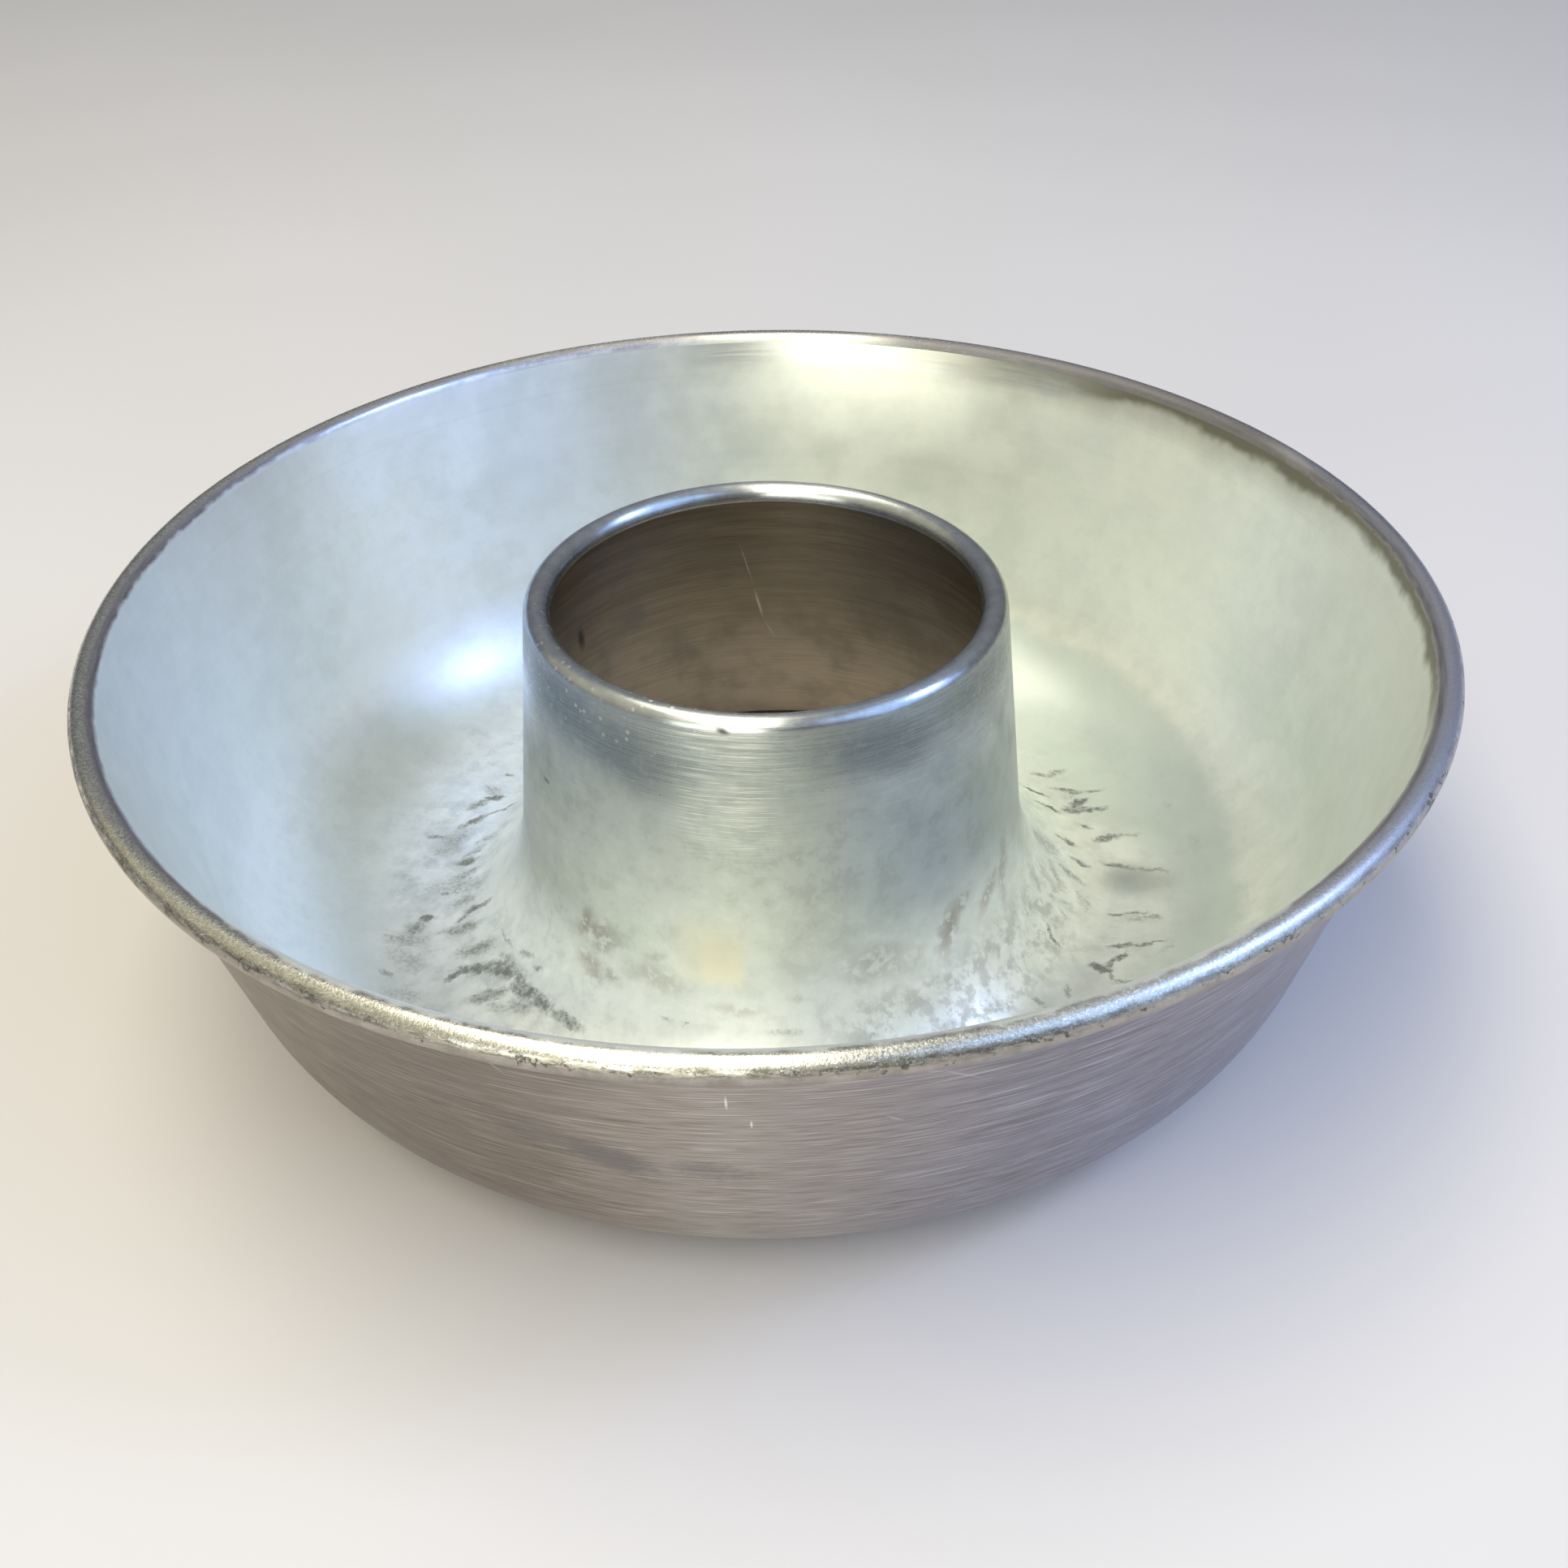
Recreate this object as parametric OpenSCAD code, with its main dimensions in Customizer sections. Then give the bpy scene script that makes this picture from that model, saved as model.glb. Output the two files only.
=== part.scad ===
// Ring cake pan spun from one sheet of aluminium, its rim rolled round a steel wire.
// Origin at the middle of the resting face, +Z up, millimetres.
// The sheet is drawn as a half section of bends and straights of one gauge, and revolved.

/* [Bowl] */
// Outside diameter over the rolled rim
pan_d = 250; // [240:1:300]
// Height from the table to the top of the rim
pan_h = 73.5; // [60:0.5:90]
// Lean of the outer wall from upright, in degrees
wall_lean = 14.3; // [8:0.1:19]
// Outside radius of the bend between the wall and the floor
corner_r = 31.5; // [20:0.5:36]

/* [Sheet] */
// Thickness of the sheet
gauge = 1; // [0.7:0.05:1.2]

/* [Rim] */
// Thickness of the wire that the rim is rolled round
wire_d = 2.5; // [2.2:0.1:4]
// Slack between the wire and the sheet around it
wire_fit = 0.25; // [0.2:0.05:0.4]
// Gap left between the two cut ends of the wire
wire_end_gap = 1; // [0.5:0.1:3]
// Gap between the cut edge of the curl and the wall
curl_gap = 0.2; // [0.1:0.05:0.4]

/* [Tube] */
// Height from the table to the top of the tube
tube_h = 72; // [60:0.5:90]
// Outside diameter over the lip of the tube
lip_d = 91; // [80:0.5:98]
// Outside radius of the in-turned lip
lip_r = 2.5; // [2:0.1:3.5]
// How far the lip turns in and down, in degrees
lip_turn = 190; // [150:5:210]
// Lean of the tube from upright, in degrees
tube_lean = 6; // [3:0.1:9]

/* [Foot of the tube] */
// Radius of the slow flare above the foot
flare_r = 34; // [24:1:40]
// How far the flare leans out before the foot takes over, in degrees
flare_turn = 24; // [12:1:32]
// Radius of the tight bend from the flare to the floor
foot_r = 19; // [10:1:22]

/* [Hidden] */
$fn = 128;

// How far the foot runs into the flare, so that the two bends are one sheet
lap = 0.02;

// Largest turn between neighbouring corners of the fan that cuts a bend out of its ring
fan_step = 60;

// Unit vector at an angle
function unit(angle) = [cos(angle), sin(angle)];

// Point on a bend, by its centre, radius and angle
function on_bend(centre, radius, angle) = centre + radius * unit(angle);

// Rolled rim: the wall runs up its inner side, then over, out, down and under
bead_r = wire_d / 2 + wire_fit + gauge;
bead_mid_r = bead_r - gauge / 2;
bead_c = [pan_d / 2 - bead_r, pan_h - bead_r];
bead_start = 180 - wall_lean;
curl_turn = 360 - acos((bead_r - gauge - curl_gap) / bead_r);

// Corner: rests on the table and meets the wall as a tangent
corner_mid_r = corner_r - gauge / 2;
wall_reach = bead_c * unit(-wall_lean) - bead_mid_r;
corner_x = (wall_reach - corner_mid_r + corner_r * sin(wall_lean)) / cos(wall_lean);
corner_c = [corner_x, corner_r];

// Lip: starts on the outer side of the tube, goes over the top and down inside
lip_mid_r = lip_r - gauge / 2;
lip_c = [lip_d / 2 - lip_r, tube_h - lip_r];

// Foot: two bends with their centres above the floor, one tangent to the next
foot_mid_r = foot_r + gauge / 2;
flare_mid_r = flare_r + gauge / 2;
flare_end = tube_lean + flare_turn;
tube_reach = lip_c * unit(tube_lean) + lip_mid_r;
foot_z = gauge + foot_r;
foot_reach = tube_reach + flare_mid_r - (flare_r - foot_r) * cos(flare_turn);
foot_c = [(foot_reach - foot_z * sin(tube_lean)) / cos(tube_lean), foot_z];
flare_c = on_bend(foot_c, flare_r - foot_r, flare_end);
foot_lap_turn = lap / foot_mid_r * 180 / PI;

// Band of sheet bent about a centre, from one angle to the next
module bend(centre, mid_r, from, to) {
    far = 2 * (mid_r + gauge);
    steps = ceil((to - from) / fan_step);
    fan = [for (i = [0 : steps]) far * unit(from + (to - from) * i / steps)];
    translate(centre)
        intersection() {
            difference() {
                circle(r = mid_r + gauge / 2);
                circle(r = mid_r - gauge / 2);
            }
            polygon(concat([[0, 0]], fan));
        }
}

// Flat band of sheet between two points of its middle line. Its ends are pointed, and the
// points lie in the bends beside it.
module straight(a, b) {
    run = (b - a) / norm(b - a) * gauge / 2;
    side = [-run.y, run.x];
    polygon([a - side, b - side, b + run, b + side, a + side, a - run]);
}

// Half section of the sheet, from the cut edge of the curl to the cut edge of the lip
module sheet_section() {
    wall_top = on_bend(bead_c, bead_mid_r, bead_start);
    wall_end = on_bend(corner_c, corner_mid_r, -wall_lean);
    floor_out = on_bend(corner_c, corner_mid_r, -90);
    floor_in = on_bend(foot_c, foot_mid_r, -90);
    tube_end = on_bend(flare_c, flare_mid_r, 180 + tube_lean);
    tube_top = on_bend(lip_c, lip_mid_r, tube_lean);

    bend(bead_c, bead_mid_r, bead_start - curl_turn, bead_start);
    straight(wall_top, wall_end);
    bend(corner_c, corner_mid_r, -90, -wall_lean);
    straight(floor_out, floor_in);
    bend(foot_c, foot_mid_r, 180 + flare_end - foot_lap_turn, 270);
    bend(flare_c, flare_mid_r, 180 + tube_lean, 180 + flare_end);
    straight(tube_end, tube_top);
    bend(lip_c, lip_mid_r, tube_lean, tube_lean + lip_turn);
}

module pan_shell()
    color("#b7bbb6")
    rotate_extrude()
        sheet_section();

// One length of wire bent to a ring, with its ends almost meeting at the back
module rim_wire() {
    ring_r = bead_c.x;
    open = wire_end_gap / ring_r * 180 / PI;
    color("#7d8083")
    rotate(90 + open / 2)
        rotate_extrude(angle = 360 - open)
            translate(bead_c)
                circle(d = wire_d);
}

pan_shell();
rim_wire();
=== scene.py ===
"""Looks of the ring cake pan: its worn, spun sheet, its rim wire, and a plain studio round them."""
import math

import bpy
import numpy as np
from mathutils import Matrix, Vector, noise


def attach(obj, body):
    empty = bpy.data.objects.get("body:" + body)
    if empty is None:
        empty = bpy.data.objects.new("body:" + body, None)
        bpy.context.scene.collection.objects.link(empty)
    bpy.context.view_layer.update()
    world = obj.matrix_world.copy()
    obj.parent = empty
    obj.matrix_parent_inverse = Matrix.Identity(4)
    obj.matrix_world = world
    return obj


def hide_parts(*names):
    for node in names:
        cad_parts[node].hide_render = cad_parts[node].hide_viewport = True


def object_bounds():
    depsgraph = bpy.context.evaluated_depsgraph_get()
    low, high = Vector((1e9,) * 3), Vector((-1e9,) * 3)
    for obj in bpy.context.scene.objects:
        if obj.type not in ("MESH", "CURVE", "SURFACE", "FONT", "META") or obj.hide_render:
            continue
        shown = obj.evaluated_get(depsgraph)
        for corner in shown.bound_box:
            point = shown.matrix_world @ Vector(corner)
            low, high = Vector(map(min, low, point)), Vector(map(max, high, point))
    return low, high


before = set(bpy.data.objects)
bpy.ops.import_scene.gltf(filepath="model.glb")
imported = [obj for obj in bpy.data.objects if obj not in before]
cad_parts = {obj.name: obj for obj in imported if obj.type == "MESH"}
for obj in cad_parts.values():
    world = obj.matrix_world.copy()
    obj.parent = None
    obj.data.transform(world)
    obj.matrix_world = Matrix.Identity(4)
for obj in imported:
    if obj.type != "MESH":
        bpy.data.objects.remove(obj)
cad_low, cad_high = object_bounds()

# Lengths are in millimetres and angles in degrees, unless a comment says otherwise
MM = 0.001

# Section of the sheet, as it is built, but for a sag of the rim that leaves room for its warp
RIM_R = cad_high.x / MM
RIM_SAG = 0.5
RIM_H = cad_high.z / MM - RIM_SAG
GAUGE = 1.0
BEAD_R = 2.5
CURL_TURN = 316.0
WALL_LEAN = 14.3
CORNER_R = 31.5
TUBE_H = 72.0
LIP_D = 91.0
LIP_R = 2.5
LIP_TURN = 190.0
TUBE_LEAN = 6.0
FLARE_R = 34.0
FLARE_TURN = 24.0
FOOT_R = 19.0
WIRE_R = 1.25
WIRE_GAP = 1.0

# What use has done to it: rim and lip are a little out of true, and the lip's oval has a reach round it
RIM_WARP = 0.47
RIM_OVAL = 0.0013
LIP_OVAL = 0.0066
LIP_REACH = 20.0

# Unevenness, as waves: height, features round the pan and along the sheet, and seed. The height of
# the waves in the curl's cut edge is in degrees.
SHEET_WAVES = ((0.05, 3.0, 0.05, 11.3), (0.02, 9.0, 0.12, 4.1))
FOOT_WAVES = ((0.16, 8.5, 0.05, 23.7), (0.07, 17.0, 0.08, 31.9))
ROLL_WAVES = ((0.06, 12.0, 1.0, 15.1),)
CURL_EDGE_WAVES = ((5.0, 16.0, 1.0, 7.7), (4.0, 48.0, 1.0, 2.9))

# Where the waves at the foot are highest, after its start, and how far they spread
FOOT_WAVES_AT = 4.0
FOOT_WAVES_SPREAD = 8.0

# Bead and lip hold the sheet: run over which it comes free of them, and a little play at the lip
FREE_OVER = 3.0
FREE_AT_LIP = 0.3

# The round dent on the floor: azimuth and run of its middle, reach across and along, depth, flat share
DENT_AT = (358.0, 102.5)
DENT_REACH = (5.6, 6.0)
DENT_DEPTH = 0.45
DENT_FLAT = 0.1

# The faint turned step below the rim: run after the wall's start, depth, width, and where it fades out
STEP_AT = 7.0
STEP_DEPTH = 0.05
STEP_WIDTH = 1.5
STEP_FADE = (6.0, 26.0)

# Mesh: steps round the pan, along each band of the section and of the wire, and angle of a sharp edge
ROUND = 400
BANDS = {"bead": 34, "wall": 12, "corner": 24, "floor": 8, "foot": 14, "flare": 8, "tube": 9, "lip": 15}
WIRE_ROUND, WIRE_SIDES = 240, 16
SHARP_ANGLE = 45

# How far a mark reaches through the sheet, so that it stays on its own wall, and the shares of its
# half width and half length between which it fades
MARK_DEPTH = 9.0
MARK_FADE = (0.2, 1.7)

# Marks, as strokes on the sheet: azimuth and run of each end, width, strength
LEFT_SCUFFS = (
    (146.5, 106, 146, 108, 0.8, 0.6), (158, 105.5, 154.5, 108.5, 2.2, 0.6),
    (154, 108, 153, 110.5, 2.4, 0.85), (151, 104.5, 152, 109, 3.5, 0.4), (163, 107, 159, 111, 2.0, 0.8),
    (159, 111, 154.5, 117, 1.1, 0.7), (171, 105.5, 164, 109, 5.5, 0.42),
    (166.5, 101, 166.5, 106, 1.6, 0.6), (168, 113, 166, 117.5, 2.6, 0.42),
    (173.5, 111, 173, 115, 2.4, 0.85), (172, 112, 168.5, 116, 3.0, 0.5),
    (180, 107, 181, 118, 6.0, 0.42), (178, 111, 176, 117, 3.0, 0.5), (182, 109, 181.5, 111, 1.3, 0.75),
    (190, 113, 188.5, 116, 1.8, 0.6), (188.5, 115, 189, 121, 1.7, 0.9), (185, 112, 185, 117, 3.0, 0.5),
    (188, 105, 187.5, 108, 1.8, 1.0), (191, 102, 188.5, 106, 4.0, 0.6), (191, 98.5, 193, 105, 4.5, 0.5),
    (194, 99, 199, 104, 5.5, 0.42), (192, 110.5, 193, 117.5, 3.2, 0.62),
    (198.5, 112, 201, 119.5, 3.4, 0.66), (203.5, 108, 202.5, 111, 1.8, 1.0),
    (202.5, 110.5, 205.5, 116.5, 2.6, 1.0), (205, 116, 212, 121, 3.6, 0.95),
    (205, 120, 212.5, 121, 3.0, 0.55), (212, 121, 215, 119.5, 2.6, 0.75),
    (213.5, 118.5, 219.5, 120.5, 3.2, 0.9), (218, 119.5, 224, 120.5, 3.2, 0.75),
    (223.5, 120.5, 232, 120, 2.4, 0.65), (215.5, 115.5, 220, 117.5, 4.0, 0.5),
    (210, 110, 213, 117.5, 3.0, 0.72), (213, 112, 218.5, 116, 3.2, 0.4),
    (198, 96.5, 199.5, 98, 1.6, 0.7), (202.5, 96, 205.5, 102, 4.0, 0.4),
    (209, 124, 212.5, 125.5, 1.6, 0.5), (214, 124.5, 216.5, 125.5, 1.4, 0.6),
    (199, 122.5, 206.5, 123, 0.7, 0.4), (207.5, 128.5, 213, 129, 0.6, 0.4),
)
RIGHT_SCUFFS = (
    (30, 110.5, 28.5, 108, 1.5, 0.6), (28, 107.5, 28, 103.5, 2.2, 0.55),
    (25.5, 116.5, 22.5, 112.5, 1.1, 0.95), (24, 109, 21, 104, 1.9, 0.8), (21, 104, 20.5, 99, 1.0, 0.6),
    (21.5, 109.5, 21, 106.5, 3.5, 0.3), (20.5, 116.5, 16.5, 112.5, 1.3, 0.85),
    (17.5, 110.5, 16.5, 106.5, 3.0, 1.0), (18.5, 108.5, 19, 105, 2.0, 1.0),
    (16, 107, 16, 102, 1.5, 0.9), (13, 110.5, 11.5, 108, 1.5, 0.6), (8, 108, 8.5, 103, 2.4, 0.85),
    (8.5, 103.5, 8, 98, 1.2, 0.45), (8.5, 118, 7.5, 115.5, 1.1, 0.6), (7.5, 116, 6, 114, 1.8, 0.8),
    (2, 116, 0, 112.5, 1.7, 0.75), (357.5, 120, 355, 114.5, 2.2, 0.5),
    (358, 119.5, 355.5, 117.5, 3.0, 0.35), (1.5, 108.5, 359.5, 102.5, 1.7, 0.85),
    (359.5, 102.5, 359, 96, 1.3, 0.7), (348, 109, 348, 106, 1.3, 0.6),
    (348.5, 106, 349.5, 101.5, 1.4, 0.7), (348.5, 102, 348.5, 98, 1.3, 0.6),
    (347, 106.5, 348, 101, 3.0, 0.4), (340, 107.5, 341.5, 103, 1.4, 0.95),
    (341, 103.5, 343.5, 97, 0.9, 0.75), (334, 110, 334.5, 106.5, 2.0, 1.0),
    (335, 106.5, 337.5, 106, 1.5, 0.9), (337, 106, 339, 104.5, 2.0, 0.95),
    (334, 106, 332, 104.5, 1.0, 0.6), (332, 104.5, 333.5, 101, 1.2, 0.6),
    (337.5, 121.5, 335.5, 119.5, 0.9, 0.7), (335.5, 120, 335, 117.5, 1.1, 0.7),
    (321, 116, 321, 113, 1.2, 0.5), (328, 112, 325, 111, 1.4, 0.5), (5, 124, 359, 123, 1.6, 0.4),
    (357, 123, 351, 120.5, 2.2, 0.36), (352, 115.5, 347, 113.5, 2.6, 0.36), (13, 90, 11, 89, 2.0, 0.2),
    (5, 88.5, 1, 88, 2.4, 0.2), (340.5, 98, 343.5, 95, 1.4, 0.3),
)
FRONT_SCUFFS = (
    (256.5, 134, 254.5, 131, 1.0, 0.9), (254.5, 131, 252, 128, 0.8, 0.7),
    (255.5, 133, 254, 131, 2.4, 0.5), (240, 131, 246, 131, 1.8, 0.45), (247, 129, 249, 128, 2.0, 0.4),
    (267, 128, 275, 127.5, 1.6, 0.3), (300, 122, 306, 121, 3.0, 0.3), (312, 120, 318, 117, 2.6, 0.35),
    (284, 125, 290, 124, 2.2, 0.3),
)
FLOOR_BRUISES = (
    (357, 107, 357, 98.5, 9.5, 0.75), (15, 103, 11, 100, 7.0, 0.2), (170, 108, 164, 104, 7.0, 0.25),
)
TUBE_STAINS = (
    (224.5, 138, 226.5, 143, 2.6, 0.9), (225, 139, 233.5, 141, 5.0, 0.8),
    (229, 136.5, 234, 140, 3.4, 0.75), (226.5, 134, 231, 131, 4.4, 0.75),
    (233, 132.5, 235.5, 133, 2.2, 0.7), (239, 136, 250, 135, 4.5, 0.5), (243, 139, 246, 141, 2.0, 0.45),
    (285, 139, 296, 138, 7.0, 0.5), (298, 136, 302, 138, 3.0, 0.4), (308, 136, 312, 143, 5.0, 0.95),
    (312, 141, 316, 144, 3.0, 0.8), (321, 138, 327, 142, 3.4, 0.7), (329, 134, 333, 147, 3.4, 0.6),
    (258, 132, 266, 132, 2.4, 0.5), (272, 134, 276, 134, 1.4, 0.4),
)
DARK_PATCHES = (
    (165, 188, 205, 184, 11, 0.8), (200, 185, 232, 182, 13, 1.0), (225, 182, 246, 179, 12, 0.9),
    (248, 181, 252, 178, 7, 0.4), (283, 184, 306, 183, 10, 1.0), (292, 181, 304, 180, 7, 0.8),
    (306, 185, 345, 185, 9, 0.7), (20, 186, 150, 186, 9, 0.6),
)
TUBE_PITS = (
    (259, 189.5, 261, 189.2, 1.0, 1.0), (209, 165, 211, 165, 0.8, 0.8),
)
OUTER_SMUDGES = (
    (248, 36, 256, 42, 9, 0.5), (254, 40, 260, 45, 8, 0.75), (262, 43, 267, 45, 7, 0.5),
    (240, 34, 246, 36, 8, 0.3),
)
OUTER_NICKS = (
    (266.4, 22.0, 266.4, 24.8, 0.32, 1.0), (268, 28.8, 268, 30.3, 0.32, 1.0),
    (277.5, 30, 278.5, 31.5, 0.3, 0.4), (277.5, 17.5, 281, 19.5, 0.3, 0.35),
    (281, 19.5, 283.5, 23, 0.3, 0.35), (250, 19, 251, 22, 0.4, 0.25),
)
BORE_SCRATCH = (
    (96, 174, 93.5, 166, 0.3, 0.5), (92.5, 162, 91, 156.5, 0.5, 1.0), (90, 154, 88, 150.5, 0.3, 0.6),
)
BORE_DENT_SHADE_MARK = (
    (145.5, 166, 144.5, 162, 1.8, 1.0),
)

# Run from which the floor's finish is used, and its parts: two azimuths, and the scuffs between them
SCUFFED_FROM = 84.0
FLOOR_SECTORS = (
    ("floor_left", 130, 236, LEFT_SCUFFS), ("floor_front", 236, 316, FRONT_SCUFFS),
    ("floor_right", 316, 36, RIGHT_SCUFFS), ("floor_back", 36, 130, ()),
)
FINISHES = ["rim", "wall", "tube", "outside", "bore"] + [sector[0] for sector in FLOOR_SECTORS]

# Scratches across the rim: width, length and turn about the pan's axis, and their lean in radians
RIM_SCRATCHES = ((0.28, 1.6, 35), (0.25, 1.3, 100), (0.3, 1.8, 160))
SCRATCH_LEAN = (0.3, 0.2)

# Colours of the dull side: metal, mottling, haze, lines, tarnish, and its painted warm light at the right
# and painted cool light at the left
DULL, DULL_PALE = (0.73, 0.765, 0.74), (0.80, 0.835, 0.81)
MOTTLE_DARK, MOTTLE_PALE = (0.64, 0.675, 0.655), (0.88, 0.91, 0.89)
HAZE = (0.77, 0.80, 0.81)
TURNED_LINE = (0.88, 0.90, 0.88)
TARNISH = (0.59, 0.67, 0.65)
PAINTED_WARM_LIGHT, PAINTED_COOL_LIGHT = (1.07, 1.055, 0.96), (1.01, 1.02, 1.10)

# Colours of wear, dirt and old baking, and the painted shade under the rim on the outside
SCUFF, SCUFF_EDGE = (0.12, 0.13, 0.125), (0.50, 0.53, 0.51)
FOOT_WEAR = (0.40, 0.43, 0.42)
BRUISE = (0.35, 0.385, 0.38)
FOOT_STAIN, TUBE_STAIN = (0.43, 0.42, 0.39), (0.34, 0.29, 0.25)
GREASE, GREASE_FILM = (0.085, 0.08, 0.052), (0.42, 0.415, 0.36)
PAINTED_RIM_SHADOW, DARK_GRIME = (0.14, 0.12, 0.11), (0.10, 0.095, 0.085)
SMUDGE = (0.20, 0.19, 0.19)
PIT, NICK = (0.10, 0.10, 0.10), (0.90, 0.88, 0.86)

# Colours of the rolled rim: its grain, smoother side with painted cool light, inner side with painted dark
# reflection and painted highlights, shadow and underside
RIM_DARK, RIM_PALE = (0.54, 0.54, 0.50), (0.72, 0.72, 0.68)
SMOOTH_COOL_LIT_DARK, SMOOTH_COOL_LIT_PALE = (0.60, 0.61, 0.70), (0.70, 0.71, 0.80)
INNER_DARK, INNER_PALE, INNER_PAINTED_HIGHLIGHT = (0.44, 0.43, 0.46), (0.58, 0.57, 0.61), (0.74, 0.74, 0.71)
RIM_SHADE = (0.17, 0.165, 0.18)
RIM_FLECK, RIM_LOWER = (0.15, 0.14, 0.115), (0.36, 0.345, 0.285)
UNDER_DARK, UNDER_PALE = (0.33, 0.305, 0.27), (0.48, 0.44, 0.40)
RIM_GLINT = (0.93, 0.93, 0.88)

# Colours of the polish under the rim, and of the tube, with its painted shade, painted cool light, painted
# warm reflection and painted highlight lines
POLISH_DARK, POLISH_PALE, POLISH_END = (0.76, 0.78, 0.77), (0.86, 0.87, 0.86), (0.45, 0.46, 0.44)
TUBE_DARK, TUBE_PALE = (0.62, 0.64, 0.62), (0.70, 0.71, 0.69)
TUBE_SHADE, TUBE_PAINTED_COOL_LIGHT = (0.62, 0.62, 0.58), (0.66, 0.75, 1.0)
PAINTED_WARM_REFLECTION = (1.0, 0.945, 0.73)
DARK_PATCH = (0.26, 0.29, 0.32)
TUBE_PAINTED_HIGHLIGHT = (1.0, 0.99, 0.90)
LIP_DARK, LIP_PALE = (0.50, 0.53, 0.56), (0.60, 0.63, 0.65)
LIME_SPOT = (0.82, 0.84, 0.82)

# Colours of the outside, with its painted shade and painted cool light, and of the bore, with its painted
# light and shade
HAIR_DARK, HAIR_PALE = (0.315, 0.275, 0.235), (0.50, 0.455, 0.41)
OUTER_BLOTCH, OUTER_STREAK = (0.40, 0.375, 0.365), (0.60, 0.56, 0.52)
BRIGHT_LINE, DARK_LINE = (0.82, 0.77, 0.72), (0.20, 0.17, 0.145)
OUTER_SHADE, OUTER_PAINTED_COOL_LIGHT = (0.62, 0.60, 0.59), (0.80, 0.84, 1.03)
BORE_DARK, BORE_DARK_HAIR = (0.175, 0.145, 0.105), (0.225, 0.190, 0.140)
BORE_PAINTED_LIT, BORE_PAINTED_LIT_HAIR = (0.56, 0.49, 0.385), (0.66, 0.585, 0.465)
BORE_LINE, BORE_BLOTCH, BORE_PAINTED_FOOT_LIGHT = (0.54, 0.49, 0.38), (0.20, 0.185, 0.15), (0.41, 0.365, 0.32)
BORE_SCRATCHED, BORE_DENT_SHADE = (0.80, 0.77, 0.70), (0.04, 0.035, 0.03)

# Colours of the wire and of the studio floor
WIRE_DARK, WIRE_PALE = (0.42, 0.43, 0.44), (0.56, 0.57, 0.58)
STUDIO_DARK, STUDIO_PALE = (0.68, 0.66, 0.68), (0.71, 0.69, 0.71)

# Metallic share and roughness of the dull side
DULL_METAL = 0.62
DULL_ROUGH = (0.34, 0.41)

# Studio: radius of its floor in metres and corners of it; brightness and colours of the surroundings
FLOOR_R, FLOOR_SIDES = 6.0, 64
WORLD_STRENGTH = 0.8
WORLD_LOW, WORLD_HIGH = (0.1, (0.14, 0.14, 0.16, 1)), (0.9, (0.42, 0.44, 0.46, 1))

# Lamps: name, direction, distance, direction that the width runs in, size, power and colour, in metres
LAMPS = (
    ("overhead_lamp", (-0.20, -0.20, 0.96), 1.1, (1, 0, 0), (0.5, 1.6), 11.0, (1.0, 0.93, 0.72)),
    ("window_lamp", (0.70, -0.05, 0.71), 1.2, (0, 1, 0), (0.22, 0.22), 2.4, (0.50, 0.61, 1.0)),
    ("right_lamp", (0.70, -0.30, 0.65), 1.5, (0, 1, 0), (1.4, 1.4), 8.4, (0.36, 0.58, 1.0)),
    ("left_lamp", (-0.66, -0.10, 0.74), 1.6, (0, 1, 0), (2.2, 2.2), 4.6, (1.0, 0.87, 0.42)),
    ("front_lamp", (-0.38, -0.90, 0.22), 1.6, (1, 0, 0), (1.1, 0.6), 8.5, (1.0, 0.99, 0.84)),
)

# The photograph's camera, found by fitting the pan's outlines: place, turns in radians, lens in pixels
CAMERA_AT = (0, -281.1, 234.2)
CAMERA_YAW, CAMERA_PITCH, CAMERA_ROLL = 0.0096, 0.6379, -0.0230
PHOTO_WIDTH, FOCAL_LENGTH = 1932, 2120
SENSOR_WIDTH, NEAR_CLIP = 36, 10


def turned(angle):
    """A unit vector at an angle."""
    return np.array([math.cos(math.radians(angle)), math.sin(math.radians(angle))])


def smooth(x):
    """Eases from 0 to 1 as x does."""
    x = np.clip(x, 0, 1)
    return x * x * (3 - 2 * x)


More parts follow.
